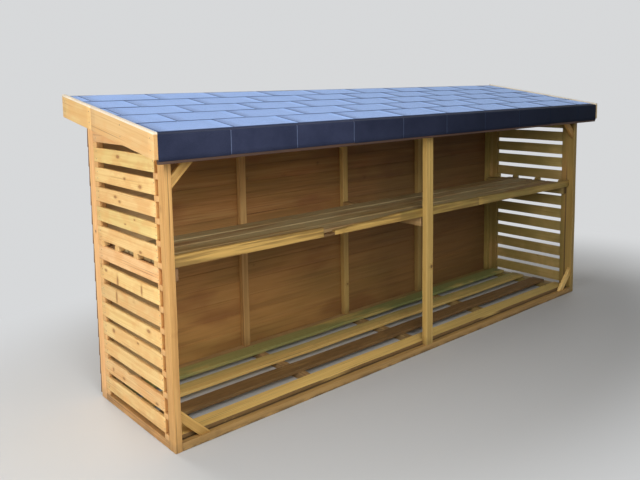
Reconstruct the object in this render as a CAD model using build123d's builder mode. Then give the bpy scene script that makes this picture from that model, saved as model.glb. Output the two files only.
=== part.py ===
from build123d import *
import os

os.makedirs("parts", exist_ok=True)

# Sizes of the whole store, in millimetres
frame_length = 3340.0
frame_depth = 766.0
roof_front_height = 1406.0
roof_slope = 0.155
front_overhang = 103.0
back_overhang = 64.0
end_overhang = 92.0

# Timber sections
post_width = 34.0
post_depth = 56.0
centre_post_width = 56.0
centre_post_depth = 34.0
centre_post_shift = 18.0
sill_height = 37.0
sill_depth = 56.0
stud_width = 42.0
stud_depth = 34.0
end_stud_width = 30.0
bearer_width = 45.0
rail_thickness = 34.0
rail_height = 60.0
stile_depth = 40.0
stile_face = 28.0
back_post_depth = 56.0

# Side panels
slat_thickness = 16.0
slat_height = 70.0
slat_pitch = 97.0
bottom_rail_height = 37.0
top_rail_height = 45.0

# Floor and shelf
board_thickness = 18.0
floor_board_width = 98.0
floor_board_front_gap = 39.0
floor_board_back_gap = 81.0
shelf_bearer_top = 808.0
shelf_bearer_height = 62.0
shelf_board_width = 98.0
shelf_front_gap = 116.0
shelf_back_gap = 216.0
shelf_rail_thickness = 22.0
shelf_rail_foot = 5.0
shelf_rail_left_height = 54.0
shelf_rail_right_height = 48.0
shelf_rail_slope = 0.0037
shelf_rail_break_start = 900.0
shelf_rail_break_length = 75.0
shelf_rail_break_left = 16.0
shelf_rail_wane_depth = 26.0
shelf_rail_wane_end = 1560.0

# Roof
roof_board_thickness = 12.0
felt_thickness = 5.0
felt_skirt_thickness = 3.0
felt_course_step = 2.0
felt_starter_depth = 36.0
felt_course_count = 5
rafter_depth = 38.0
rafter_width = 34.0
end_rafter_thickness = 22.0
fascia_thickness = 16.0
fascia_drop = 124.0
back_fascia_height = 90.0
barge_thickness = 19.0
barge_height = 110.0
barge_rise = 6.0

# Braces and cladding
brace_width = 40.0
brace_thickness = 20.0
brace_setback = 8.0
bottom_brace_reach = 150.0
top_brace_reach = 149.0
cladding_thickness = 15.0
cladding_step = 5.0
cladding_course = 98.0
cladding_ground_gap = 20.0

# Positions that follow from the sizes
roof_depth = front_overhang + frame_depth + back_overhang
front_y = -roof_depth / 2 + front_overhang
back_y = front_y + frame_depth
roof_front_y = front_y - front_overhang
roof_back_y = back_y + back_overhang
left_x = -frame_length / 2
right_x = frame_length / 2
centre_x = centre_post_shift
boards_under = felt_thickness + roof_board_thickness
brace_leg = brace_width * 2 ** 0.5


def roof_z(y, below=0.0):
    return roof_front_height + (y - roof_front_y) * roof_slope - below


def bar(x0, x1, y0, y1, z0, z1):
    with Locations(((x0 + x1) / 2, (y0 + y1) / 2, (z0 + z1) / 2)):
        Box(x1 - x0, y1 - y0, z1 - z0)


def cut_across(x0, x1, outline):
    with BuildSketch(Plane.YZ.offset(x0)) as section:
        with BuildLine():
            Polyline(*outline, close=True)
        make_face()
    extrude(section.sketch, amount=x1 - x0)


def upright(x0, x1, y0, y1, z0, below):
    cut_across(x0, x1, [(y0, z0), (y1, z0), (y1, roof_z(y1, below)), (y0, roof_z(y0, below))])


def sloping(x0, x1, y0, y1, top_below, height):
    cut_across(x0, x1, [
        (y0, roof_z(y0, top_below + height)),
        (y1, roof_z(y1, top_below + height)),
        (y1, roof_z(y1, top_below)),
        (y0, roof_z(y0, top_below)),
    ])


def corner_brace(outline):
    with BuildSketch(Plane.XZ.offset(-(front_y + brace_setback))) as section:
        with BuildLine():
            Polyline(*outline, close=True)
        make_face()
    extrude(section.sketch, amount=-brace_thickness)


front_rail_top = roof_z(front_y, boards_under + rafter_depth)
front_rail_bottom = front_rail_top - rail_height
back_rail_y = back_y - rail_thickness
back_rail_top = roof_z(back_rail_y, boards_under + rafter_depth)
back_rail_bottom = back_rail_top - rail_height
panel_front_y = front_y + post_depth
panel_back_y = back_y - back_post_depth
stud_x = [left_x + frame_length * part for part in (0.265, 0.508, 0.730)]

# End posts of the front, cut to the slope of the roof
with BuildPart() as front_left_post:
    upright(left_x, left_x + post_width, front_y, front_y + post_depth, 0, boards_under)
front_left_post.part.label = "front_left_post"

with BuildPart() as front_right_post:
    upright(right_x - post_width, right_x, front_y, front_y + post_depth, 0, boards_under)
front_right_post.part.label = "front_right_post"

# Centre post, standing on the sill under the top rail
with BuildPart() as centre_post:
    bar(centre_x - centre_post_width / 2, centre_x + centre_post_width / 2,
        front_y, front_y + centre_post_depth, sill_height, front_rail_bottom)
centre_post.part.label = "centre_post"

# Back corner posts
with BuildPart() as back_left_post:
    upright(left_x, left_x + post_width, panel_back_y, back_y, 0, boards_under)
back_left_post.part.label = "back_left_post"

with BuildPart() as back_right_post:
    upright(right_x - post_width, right_x, panel_back_y, back_y, 0, boards_under)
back_right_post.part.label = "back_right_post"

# Studs of the back wall, with a narrower one against each end post
inner_left = left_x + post_width
inner_right = right_x - post_width
with BuildPart() as back_studs:
    for x in stud_x:
        bar(x - stud_width / 2, x + stud_width / 2, back_y - stud_depth, back_y,
            sill_height, back_rail_bottom)
    for x in (inner_left, inner_right - end_stud_width):
        bar(x, x + end_stud_width, back_y - stud_depth, back_y, sill_height, back_rail_bottom)
back_studs.part.label = "back_studs"

# Rebated stiles of the slatted side panels: the slats are nailed into the rebate, flush with the face
def stile(outer_x, inner_x, post_side_y, inward):
    face_edge = post_side_y + inward * stile_face
    rebate_edge = post_side_y + inward * stile_depth
    rebate_x = outer_x + (slat_thickness if inner_x > outer_x else -slat_thickness)
    top = boards_under + top_rail_height
    upright(min(outer_x, inner_x), max(outer_x, inner_x), min(post_side_y, face_edge),
            max(post_side_y, face_edge), bottom_rail_height, top)
    upright(min(rebate_x, inner_x), max(rebate_x, inner_x), min(face_edge, rebate_edge),
            max(face_edge, rebate_edge), bottom_rail_height, top)


with BuildPart() as left_front_stile:
    stile(left_x, inner_left, panel_front_y, 1)
left_front_stile.part.label = "left_front_stile"

with BuildPart() as left_back_stile:
    stile(left_x, inner_left, panel_back_y, -1)
left_back_stile.part.label = "left_back_stile"

with BuildPart() as right_front_stile:
    stile(right_x, inner_right, panel_front_y, 1)
right_front_stile.part.label = "right_front_stile"

with BuildPart() as right_back_stile:
    stile(right_x, inner_right, panel_back_y, -1)
right_back_stile.part.label = "right_back_stile"

# Bottom and top rails of the side panels
with BuildPart() as left_bottom_rail:
    bar(left_x, left_x + post_width, panel_front_y, panel_back_y, 0, bottom_rail_height)
left_bottom_rail.part.label = "left_bottom_rail"

with BuildPart() as right_bottom_rail:
    bar(right_x - post_width, right_x, panel_front_y, panel_back_y, 0, bottom_rail_height)
right_bottom_rail.part.label = "right_bottom_rail"

with BuildPart() as left_top_rail:
    sloping(left_x + slat_thickness, left_x + post_width, panel_front_y, panel_back_y, boards_under, top_rail_height)
left_top_rail.part.label = "left_top_rail"

with BuildPart() as right_top_rail:
    sloping(right_x - post_width, right_x - slat_thickness, panel_front_y, panel_back_y, boards_under, top_rail_height)
right_top_rail.part.label = "right_top_rail"

# Slats, one nailed every pitch up the panels for as long as the front stile backs it
slat_front_y = panel_front_y + stile_face
slat_back_y = panel_back_y - stile_face
stile_top = roof_z(panel_front_y, boards_under + top_rail_height)
slat_count = int((stile_top - bottom_rail_height) / slat_pitch) + 1
with BuildPart() as left_side_slats:
    for step in range(1, slat_count + 1):
        top = bottom_rail_height + step * slat_pitch
        bar(left_x, left_x + slat_thickness, slat_front_y, slat_back_y, top - slat_height, top)
left_side_slats.part.label = "left_side_slats"

with BuildPart() as right_side_slats:
    for step in range(1, slat_count + 1):
        top = bottom_rail_height + step * slat_pitch
        bar(right_x - slat_thickness, right_x, slat_front_y, slat_back_y, top - slat_height, top)
right_side_slats.part.label = "right_side_slats"

# Sills on the ground and the floor bearers between them
with BuildPart() as front_sill:
    bar(inner_left, inner_right, front_y, front_y + sill_depth, 0, sill_height)
front_sill.part.label = "front_sill"

with BuildPart() as back_sill:
    bar(inner_left, inner_right, back_y - sill_depth, back_y, 0, sill_height)
back_sill.part.label = "back_sill"

bearer_x = [inner_left + bearer_width / 2] + stud_x + [inner_right - bearer_width / 2]
with BuildPart() as floor_bearers:
    for x in bearer_x:
        bar(x - bearer_width / 2, x + bearer_width / 2, front_y + sill_depth, back_y - sill_depth, 0, sill_height)
floor_bearers.part.label = "floor_bearers"

floor_board_pitch = (frame_depth - floor_board_front_gap - floor_board_back_gap - floor_board_width) / 3
with BuildPart() as floor_boards:
    for step in range(4):
        y = front_y + floor_board_front_gap + step * floor_board_pitch
        bar(inner_left, inner_right, y, y + floor_board_width, sill_height, sill_height + board_thickness)
floor_boards.part.label = "floor_boards"

# Top rails of the front and the back
with BuildPart() as front_top_rail:
    bar(inner_left, inner_right, front_y, front_y + rail_thickness, front_rail_bottom, front_rail_top)
front_top_rail.part.label = "front_top_rail"

with BuildPart() as back_top_rail:
    bar(inner_left, inner_right, back_rail_y, back_y, back_rail_bottom, back_rail_top)
back_top_rail.part.label = "back_top_rail"

# Shelf at mid height: a bearer at each end and one from the centre post to its stud, four boards along
# them, and a tapering front rail with a broken stretch and a waney edge beyond it
shelf_rail_y = front_y + centre_post_depth
shelf_back_y = back_y - stud_depth
inner_length = inner_right - inner_left
rail_foot = shelf_bearer_top + shelf_rail_foot


def rail_low(x):
    return rail_foot - (x - inner_left) * shelf_rail_slope


def rail_high(x):
    part = (x - inner_left) / inner_length
    return rail_low(x) + shelf_rail_left_height + (shelf_rail_right_height - shelf_rail_left_height) * part


break_left = left_x + shelf_rail_break_start
break_right = break_left + shelf_rail_break_length
wane_end = left_x + shelf_rail_wane_end
with BuildPart() as shelf_front_rail:
    with BuildSketch(Plane.XZ.offset(-shelf_rail_y)) as section:
        with BuildLine():
            Polyline(
                (inner_left, rail_low(inner_left)),
                (inner_right, rail_low(inner_right)),
                (inner_right, rail_high(inner_right)),
                (wane_end, rail_high(wane_end)),
                (break_right, rail_high(break_right) - shelf_rail_wane_depth),
                (break_right, rail_low(break_right) + shelf_rail_break_left),
                (break_left, rail_low(break_left) + shelf_rail_break_left),
                (break_left, rail_high(break_left)),
                (inner_left, rail_high(inner_left)),
                close=True,
            )
        make_face()
    extrude(section.sketch, amount=-shelf_rail_thickness)
shelf_front_rail.part.label = "shelf_front_rail"

with BuildPart() as shelf_bearers:
    for x in (bearer_x[0], stud_x[1], bearer_x[-1]):
        bar(x - bearer_width / 2, x + bearer_width / 2, shelf_rail_y + shelf_rail_thickness, shelf_back_y,
            shelf_bearer_top - shelf_bearer_height, shelf_bearer_top)
shelf_bearers.part.label = "shelf_bearers"

shelf_board_pitch = (frame_depth - shelf_front_gap - shelf_back_gap - shelf_board_width) / 3
with BuildPart() as shelf_boards:
    for step in range(4):
        y = front_y + shelf_front_gap + step * shelf_board_pitch
        bar(inner_left, inner_right, y, y + shelf_board_width, shelf_bearer_top,
            shelf_bearer_top + board_thickness)
shelf_boards.part.label = "shelf_boards"

# Braces across the corners of the front
with BuildPart() as brace_bottom_left:
    corner_brace([
        (inner_left, sill_height + bottom_brace_reach - brace_leg),
        (inner_left, sill_height + bottom_brace_reach),
        (inner_left + bottom_brace_reach, sill_height),
        (inner_left + bottom_brace_reach - brace_leg, sill_height),
    ])
brace_bottom_left.part.label = "brace_bottom_left"

with BuildPart() as brace_bottom_right:
    corner_brace([
        (inner_right, sill_height + bottom_brace_reach - brace_leg),
        (inner_right, sill_height + bottom_brace_reach),
        (inner_right - bottom_brace_reach, sill_height),
        (inner_right - bottom_brace_reach + brace_leg, sill_height),
    ])
brace_bottom_right.part.label = "brace_bottom_right"

with BuildPart() as brace_top_left:
    corner_brace([
        (inner_left, front_rail_bottom - top_brace_reach),
        (inner_left, front_rail_bottom - top_brace_reach + brace_leg),
        (inner_left + top_brace_reach - brace_leg, front_rail_bottom),
        (inner_left + top_brace_reach, front_rail_bottom),
    ])
brace_top_left.part.label = "brace_top_left"

with BuildPart() as brace_top_right:
    corner_brace([
        (inner_right, front_rail_bottom - top_brace_reach),
        (inner_right, front_rail_bottom - top_brace_reach + brace_leg),
        (inner_right - top_brace_reach + brace_leg, front_rail_bottom),
        (inner_right - top_brace_reach, front_rail_bottom),
    ])
brace_top_right.part.label = "brace_top_right"

# Overlapping cladding of the back wall, one stepped course above the other
cladding_outline = [(back_y, cladding_ground_gap)]
course = cladding_ground_gap
cladding_top = roof_z(back_y, boards_under + rafter_depth)
while course < cladding_top - cladding_step:
    upper = min(course + cladding_course, cladding_top)
    cladding_outline.append((back_y + cladding_thickness, course))
    cladding_outline.append((back_y + cladding_thickness - cladding_step, upper))
    course = upper
cladding_outline.append((back_y, cladding_top))
with BuildPart() as back_cladding:
    cut_across(left_x, right_x, cladding_outline)
back_cladding.part.label = "back_cladding"

# Rafters of the roof panel
rafter_front_y = roof_front_y + felt_skirt_thickness + fascia_thickness
rafter_back_y = roof_back_y - felt_skirt_thickness - fascia_thickness
roof_left = left_x - end_overhang + barge_thickness
roof_right = right_x + end_overhang - barge_thickness
with BuildPart() as left_end_rafter:
    sloping(roof_left, roof_left + end_rafter_thickness, rafter_front_y, rafter_back_y, boards_under, rafter_depth)
left_end_rafter.part.label = "left_end_rafter"

with BuildPart() as right_end_rafter:
    sloping(roof_right - end_rafter_thickness, roof_right, rafter_front_y, rafter_back_y, boards_under, rafter_depth)
right_end_rafter.part.label = "right_end_rafter"

with BuildPart() as rafters:
    for x in stud_x:
        sloping(x - rafter_width / 2, x + rafter_width / 2, rafter_front_y, rafter_back_y,
                boards_under, rafter_depth)
rafters.part.label = "rafters"

# Roof boards, fascias and bargeboards
deck_front_y = roof_front_y + felt_skirt_thickness
deck_back_y = roof_back_y - felt_skirt_thickness
with BuildPart() as roof_boards:
    sloping(roof_left, roof_right, deck_front_y, deck_back_y, felt_thickness, roof_board_thickness)
roof_boards.part.label = "roof_boards"

fascia_bottom = roof_front_height - fascia_drop
with BuildPart() as front_fascia:
    upright(roof_left, roof_right, deck_front_y, rafter_front_y, fascia_bottom, boards_under)
front_fascia.part.label = "front_fascia"

with BuildPart() as back_fascia:
    upright(roof_left, roof_right, rafter_back_y, deck_back_y,
            roof_z(rafter_back_y, boards_under + back_fascia_height), boards_under)
back_fascia.part.label = "back_fascia"

with BuildPart() as left_bargeboard:
    sloping(roof_left - barge_thickness, roof_left, roof_front_y, roof_back_y, -barge_rise, barge_height)
left_bargeboard.part.label = "left_bargeboard"

with BuildPart() as right_bargeboard:
    sloping(roof_right, roof_right + barge_thickness, roof_front_y, roof_back_y, -barge_rise, barge_height)
right_bargeboard.part.label = "right_bargeboard"

# Felt shingles in courses, each lower edge lapping over the one before it
felt_outline = [(deck_front_y, roof_z(deck_front_y, felt_thickness)), (deck_back_y, roof_z(deck_back_y, felt_thickness))]
starter_y = roof_front_y + felt_starter_depth
course_depth = (deck_back_y - starter_y) / felt_course_count
for step in reversed(range(felt_course_count)):
    y0 = starter_y + step * course_depth
    y1 = y0 + course_depth
    felt_outline.append((y1, roof_z(y1, felt_course_step)))
    felt_outline.append((y0, roof_z(y0)))
felt_outline.append((starter_y, roof_z(starter_y, felt_course_step)))
felt_outline.append((deck_front_y, roof_z(deck_front_y, felt_course_step)))
with BuildPart() as roof_shingles:
    cut_across(roof_left, roof_right, felt_outline)
roof_shingles.part.label = "roof_shingles"

with BuildPart() as front_felt_skirt:
    upright(roof_left, roof_right, roof_front_y, deck_front_y, fascia_bottom, felt_course_step)
front_felt_skirt.part.label = "front_felt_skirt"

with BuildPart() as back_felt_skirt:
    upright(roof_left, roof_right, deck_back_y, roof_back_y,
            roof_z(deck_back_y, boards_under + back_fascia_height), felt_course_step)
back_felt_skirt.part.label = "back_felt_skirt"

export_step(front_left_post.part, "parts/front_left_post.step")
export_step(front_right_post.part, "parts/front_right_post.step")
export_step(centre_post.part, "parts/centre_post.step")
export_step(back_left_post.part, "parts/back_left_post.step")
export_step(back_right_post.part, "parts/back_right_post.step")
export_step(back_studs.part, "parts/back_studs.step")
export_step(left_front_stile.part, "parts/left_front_stile.step")
export_step(left_back_stile.part, "parts/left_back_stile.step")
export_step(right_front_stile.part, "parts/right_front_stile.step")
export_step(right_back_stile.part, "parts/right_back_stile.step")
export_step(left_bottom_rail.part, "parts/left_bottom_rail.step")
export_step(right_bottom_rail.part, "parts/right_bottom_rail.step")
export_step(left_top_rail.part, "parts/left_top_rail.step")
export_step(right_top_rail.part, "parts/right_top_rail.step")
export_step(left_side_slats.part, "parts/left_side_slats.step")
export_step(right_side_slats.part, "parts/right_side_slats.step")
export_step(front_sill.part, "parts/front_sill.step")
export_step(back_sill.part, "parts/back_sill.step")
export_step(floor_bearers.part, "parts/floor_bearers.step")
export_step(floor_boards.part, "parts/floor_boards.step")
export_step(front_top_rail.part, "parts/front_top_rail.step")
export_step(back_top_rail.part, "parts/back_top_rail.step")
export_step(shelf_front_rail.part, "parts/shelf_front_rail.step")
export_step(shelf_bearers.part, "parts/shelf_bearers.step")
export_step(shelf_boards.part, "parts/shelf_boards.step")
export_step(brace_bottom_left.part, "parts/brace_bottom_left.step")
export_step(brace_bottom_right.part, "parts/brace_bottom_right.step")
export_step(brace_top_left.part, "parts/brace_top_left.step")
export_step(brace_top_right.part, "parts/brace_top_right.step")
export_step(back_cladding.part, "parts/back_cladding.step")
export_step(left_end_rafter.part, "parts/left_end_rafter.step")
export_step(right_end_rafter.part, "parts/right_end_rafter.step")
export_step(rafters.part, "parts/rafters.step")
export_step(roof_boards.part, "parts/roof_boards.step")
export_step(front_fascia.part, "parts/front_fascia.step")
export_step(back_fascia.part, "parts/back_fascia.step")
export_step(left_bargeboard.part, "parts/left_bargeboard.step")
export_step(right_bargeboard.part, "parts/right_bargeboard.step")
export_step(roof_shingles.part, "parts/roof_shingles.step")
export_step(front_felt_skirt.part, "parts/front_felt_skirt.step")
export_step(back_felt_skirt.part, "parts/back_felt_skirt.step")
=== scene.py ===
import bpy
import numpy as np
from mathutils import Matrix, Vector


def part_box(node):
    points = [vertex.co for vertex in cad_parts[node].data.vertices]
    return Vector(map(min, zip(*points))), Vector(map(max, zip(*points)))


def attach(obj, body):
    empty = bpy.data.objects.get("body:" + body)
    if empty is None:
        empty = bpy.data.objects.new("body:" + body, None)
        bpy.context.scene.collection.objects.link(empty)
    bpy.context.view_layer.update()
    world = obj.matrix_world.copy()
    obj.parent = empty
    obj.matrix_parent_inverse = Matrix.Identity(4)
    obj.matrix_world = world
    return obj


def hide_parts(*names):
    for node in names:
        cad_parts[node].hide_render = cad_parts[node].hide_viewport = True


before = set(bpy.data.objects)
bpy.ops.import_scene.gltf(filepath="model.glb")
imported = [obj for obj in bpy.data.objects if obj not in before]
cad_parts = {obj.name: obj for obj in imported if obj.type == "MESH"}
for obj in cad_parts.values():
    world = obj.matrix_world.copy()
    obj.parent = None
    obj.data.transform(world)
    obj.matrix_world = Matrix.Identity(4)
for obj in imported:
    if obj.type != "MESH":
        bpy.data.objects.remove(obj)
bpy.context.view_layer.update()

# Posts of the open front: two sawn posts set edge on at the ends, their tops cut to the slope of the roof,
# and a third set flat on the sill in the middle. They are pressure-treated redwood, honey brown where the
# rain has not bleached them, and are screwed to the sill and to the rail above.
roof_slope = 0.155
arris = 0.0018
end_shrink = 1.6
station_gap = 0.06
corner_angles = np.radians([0, 0, 45, 90, 90])
corner_slide = np.array([-0.002, 0, 0, 0, 0.002])
ring_width = 0.0046
knot_cells = 11
honey_pale = (212, 163, 98)
honey_dark = (162, 106, 52)
knot_brown = (92, 52, 24)
splash_brown = (96, 82, 50)
# The olive and the joint colour below carry painted shade in part: the dim right end and the shade in the gap
# at its joint.
algae_and_shade_olive = (124, 112, 52)
joint_dirt_and_shade = (58, 36, 18)


def paint(red, green, blue):
    """A colour as a screen shows it, 0 to 255 a channel, turned into the linear colour of a shader."""
    screen = np.array([red, green, blue]) / 255
    linear = np.where(screen < 0.04045, screen / 12.92, ((screen + 0.055) / 1.055) ** 2.4)
    return (*linear.tolist(), 1)


def fill(node, inputs):
    """Gives each socket, called by its name or number, a value or another node's output."""
    for socket, value in inputs.items():
        if isinstance(value, bpy.types.NodeSocket):
            node.id_data.links.new(value, node.inputs[socket])
        else:
            node.inputs[socket].default_value = value


def add(kind, inputs, tree=None, **settings):
    """The outputs of a new shader node, its settings made and its sockets filled. It goes into the node tree
    given, or else into the one that its first linked input comes from."""
    linked = (value for value in inputs.values() if isinstance(value, bpy.types.NodeSocket))
    node = (tree or next(linked).id_data).nodes.new("ShaderNode" + kind)
    for name, value in settings.items():
        setattr(node, name, value)
    fill(node, inputs)
    return node.outputs


def calc(operation, *values):
    """The result of one sum on numbers or outputs."""
    return add("Math", dict(enumerate(values)), operation=operation)[0]


def times(first, *others):
    for other in others:
        first = calc("MULTIPLY", first, other)
    return first


def plus(first, *others):
    for other in others:
        first = calc("ADD", first, other)
    return first


def minus(first, second):
    return calc("SUBTRACT", first, second)


def mixed(share, first, second, way="MIX"):
    """First carried by a share towards second, each a screen colour or another node's output."""
    first, second = (paint(*tone) if isinstance(tone, tuple) else tone for tone in (first, second))
    return add("Mix", {0: share, 6: first, 7: second}, data_type="RGBA", blend_type=way)[2]


def between(value, start, end, low=0, high=1):
    """Value carried smoothly from low at start to high at end."""
    sockets = {"Value": value, "From Min": start, "From Max": end, "To Min": low, "To Max": high}
    return add("MapRange", sockets, interpolation_type="SMOOTHSTEP")[0]


def washed(colour, tone, value, start, end, most):
    """Colour carried towards tone by a share that goes from none to most as value goes from start to end."""
    return mixed(between(value, start, end, 0, most), colour, tone)


def stretched(vector, factors):
    """The vector times a factor for each axis."""
    return add("VectorMath", {0: vector, 1: factors}, operation="MULTIPLY")[0]


def clouds(vector, scale, detail=2, roughness=0.5):
    """Soft noise from 0 to 1. Three scales, one for each axis, draw it out along the smallest."""
    if isinstance(scale, tuple):
        vector = stretched(vector, scale)
        scale = 1
    sockets = {"Vector": vector, "Scale": scale, "Detail": detail, "Roughness": roughness}
    return add("TexNoise", sockets)["Fac"]


def split(vector):
    """The three parts of a vector."""
    return list(add("SeparateXYZ", {0: vector}))


def attribute(tree, name):
    """A value that each point of the mesh holds."""
    return add("Attribute", {}, tree, attribute_name=name)["Vector"]


def here(tree):
    """The point's place on the store, in metres."""
    return add("TexCoord", {}, tree)["Object"]


def at(tree, axis):
    """The point's place along one axis."""
    return split(here(tree))["xyz".index(axis)]


def facing(tree, axis):
    """How far the face looks along one axis, from -1 to 1."""
    return split(add("NewGeometry", {}, tree)["Normal"])["xyz".index(axis)]


def new_material(name):
    """A material, its node tree and its shader."""
    material = bpy.data.materials.new(name)
    material.use_nodes = True
    return material, material.node_tree, material.node_tree.nodes["Principled BSDF"]


def wood(name, pale, dark, knot=knot_brown, rings=0.3, streaks=0.55, spread=0.12, tint=0.008, knot_share=0.3,
         rough=0.62, wear=None):
    """Sawn softwood. The grain attribute holds each point's place in its own log: along, across and through
    it. Year rings are shells round the pith, knots are scattered cells drawn out through the piece, and
    streaks, fibre and drying shakes are noise drawn out along it. Spread and tint vary the light and the hue
    from piece to piece, and the last argument is a function that changes the colour further: weathering, and
    for some timbers painted light and shade."""
    material, tree, shader = new_material(name)
    grain = attribute(tree, "grain")
    across, through = split(grain)[1:]
    lot_light, sawn_end, lot_hue = split(attribute(tree, "piece"))
    cells = add("TexVoronoi", {"Vector": stretched(grain, (1, 1, 0.15)), "Scale": knot_cells})
    pick = add("SeparateColor", {0: cells["Color"]})[0]
    size = times(calc("GREATER_THAN", pick, 1 - knot_share), between(pick, 1 - knot_share, 1, 0.04, 0.12))
    reach = calc("DIVIDE", cells["Distance"], plus(size, 0.0005))
    core = between(reach, 1.05, 0.75)
    halo = between(reach, 2.6, 0.9)
    wander = times(clouds(grain, (1.3, 5, 5)), 0.05)
    sideways = plus(across, minus(wander, 0.025))
    shell = calc("SQRT", plus(times(sideways, sideways), times(through, through)))
    shell = plus(shell, times(halo, 0.009))
    year = calc("FRACT", calc("DIVIDE", shell, ring_width))
    late = times(between(year, 0.3, 0.9), between(year, 1, 0.92))
    streak = clouds(grain, (2.2, 55, 55), 3, 0.6)
    fibre = clouds(grain, (14, 800, 800))
    shake = between(clouds(grain, (1.4, 150, 150), 1), 0.68, 0.74)
    saw = clouds(grain, (330, 12, 12))
    depth = plus(times(late, rings), times(minus(streak, 0.38), streaks * 2.2),
                 times(minus(fibre, 0.5), 0.3))
    colour = mixed(depth, pale, dark)
    colour = mixed(times(halo, 0.4), colour, dark)
    colour = mixed(times(core, 0.85), colour, knot)
    colour = mixed(times(shake, 0.6), colour, knot)
    light = between(lot_light, 0, 1, 1 - spread, 1 + spread)
    turn = between(lot_hue, 0, 1, 0.5 - tint, 0.5 + tint)
    colour = add("HueSaturation", {"Hue": turn, "Value": light, "Color": colour})[0]
    colour = mixed(times(sawn_end, 0.45), colour, dark)
    if wear:
        colour = wear(tree, colour)
    relief = plus(times(fibre, 0.8), times(late, 0.35), times(core, -0.5), times(shake, -1), times(saw, 0.5))
    bump = add("Bump", {"Height": relief, "Strength": 0.35, "Distance": 0.0012})[0]
    roughness = between(streak, 0.2, 0.8, rough - 0.08, rough + 0.1)
    fill(shader, {"Base Color": colour, "Roughness": roughness, "Normal": bump})
    return material


def ring_faces(index):
    """Quads from each ring of points to the next, closed round the rings. Index holds the points' numbers:
    its last axis goes round a ring and the one before it from ring to ring."""
    beside = np.roll(index, -1, axis=-1)
    corners = [index[..., :-1, :], beside[..., :-1, :], beside[..., 1:, :], index[..., 1:, :]]
    return np.stack(corners, axis=-1).reshape(-1, 4)


def carried(first, last, across, through, width, thick, end_across=None, start_across=None,
            radius=arris, bow=0.0006, form=None, tone=None, spacing=station_gap):
    """A rounded rectangle, width by thick, carried on straight lines from the plane at first to the plane at
    last: P(s, i) = (1 - s) (first + w(i) start + t(i) through) + s (last + w(i) end + t(i) through).
    The end rings shrink by the arris, a slow wave bends the middle, and form may reshape w and t along s.
    Tone is the piece's own lightness and hue, each 0 to 1, and is drawn by lot where it isn't given."""
    first, last, across, through = (np.array(v, float) for v in (first, last, across, through))
    end_across, start_across = (across if v is None else np.array(v) for v in (end_across, start_across))
    length = np.linalg.norm(last - first)
    steps = max(3, round(length / spacing))
    edge = radius / length
    s = np.concatenate(([0], np.linspace(edge, 1 - edge, steps + 1), [1]))[:, None]
    angle = (corner_angles + np.radians(90) * np.arange(4)[:, None]).ravel()
    slide = np.tile(corner_slide, 4) * min(1, thick / 0.012)
    side_w = np.repeat([1, -1, -1, 1], 5)
    side_t = np.repeat([1, 1, -1, -1], 5)
    w = side_w * (width / 2 - radius) + radius * np.cos(angle) - slide * np.sin(angle) + 0 * s
    t = side_t * (thick / 2 - radius) + radius * np.sin(angle) + slide * np.cos(angle) + 0 * s
    ends = np.isin(np.arange(len(s)), (0, len(s) - 1))[:, None]
    w = np.where(ends, w * (1 - end_shrink * radius / width), w)
    t = np.where(ends, t * (1 - end_shrink * radius / thick), t)
    turns = draw.uniform(0, 2 * np.pi, 4)
    swell = np.sin(np.pi * s) * bow
    w = w + swell * (np.sin(5 * s * length + turns[0]) + 0.5 * np.sin(13 * s * length + turns[1]))
    t = t + swell * (np.sin(4 * s * length + turns[2]) + 0.5 * np.sin(11 * s * length + turns[3]))
    if form:
        w, t = form(s, w, t)
    w3, t3, s3 = w[:, :, None], t[:, :, None], s[:, :, None]
    start = first + w3 * start_across + t3 * through
    points = (1 - s3) * start + s3 * (last + w3 * end_across + t3 * through)
    index = np.arange(w.size).reshape(w.shape)
    quads = ring_faces(index)
    caps = [index[0, ::-1], index[-1]]
    if np.dot(np.cross(across, through), last - first) < 0:
        quads = quads[:, ::-1]
        caps = [cap[::-1] for cap in caps]
    log = np.array([draw.uniform(0, 40), draw.uniform(-0.03, 0.03),
                    draw.choice([-1, 1]) * draw.uniform(0.03, 0.09)])
    grain = np.stack([s * length + 0 * w, w, t], axis=-1) + log
    lot = draw.random(2)
    light, hue = lot if tone is None else tone
    piece = np.stack([light + 0 * w, ends + 0 * w, hue + 0 * w], axis=-1)
    return {"points": points.reshape(-1, 3), "quads": quads, "caps": caps,
            "grain": grain.reshape(-1, 3), "piece": piece.reshape(-1, 3)}


def straight(low, high, grain, rise=0, cut=0, **more):
    """A timber that fills a box with its grain along the axis named, and its wider face along the wider of
    the other two. Rise shears it so that it climbs towards the back; cut slopes the top end of a post."""
    low, high = np.array(low, float), np.array(high, float)
    size = high - low
    size[2] -= rise * size[1]
    centre = (low + high) / 2
    unit = np.eye(3)
    unit[1, 2] = rise
    run = "xyz".index(grain)
    wide, thin = sorted((i for i in range(3) if i != run), key=lambda i: -size[i])
    first = centre - unit[run] * size[run] / 2
    last = centre + unit[run] * size[run] / 2
    end_across = unit[wide].copy()
    if cut:
        last[2] -= cut * size[1] / 2
        end_across[2] += cut
    return carried(first, last, unit[wide], unit[thin], size[wide], size[thin], end_across, **more)


def solids(node):
    """The box of each separate solid in a node, in order of x, y and z. Corners at one place share a number,
    and each triangle hands its lowest number to all three corners until nothing changes."""
    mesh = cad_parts[node].data
    points = np.empty(len(mesh.vertices) * 3, np.float32)
    mesh.vertices.foreach_get("co", points)
    points = points.reshape(-1, 3).astype(float)
    corners = np.empty(len(mesh.loops), np.int32)
    mesh.loops.foreach_get("vertex_index", corners)
    place = np.unique(points.round(5), axis=0, return_inverse=True)[1].ravel()
    triangles = place[corners].reshape(-1, 3)
    mark = np.arange(place.max() + 1)
    while True:
        lower = mark.copy()
        np.minimum.at(lower, triangles.ravel(), np.repeat(mark[triangles].min(axis=1), 3))
        if (lower == mark).all():
            break
        mark = lower
    groups = [points[mark[place] == number] for number in np.unique(mark)]
    return sorted(((g.min(axis=0), g.max(axis=0)) for g in groups), key=lambda box: tuple(box[0].round(3)))


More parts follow.
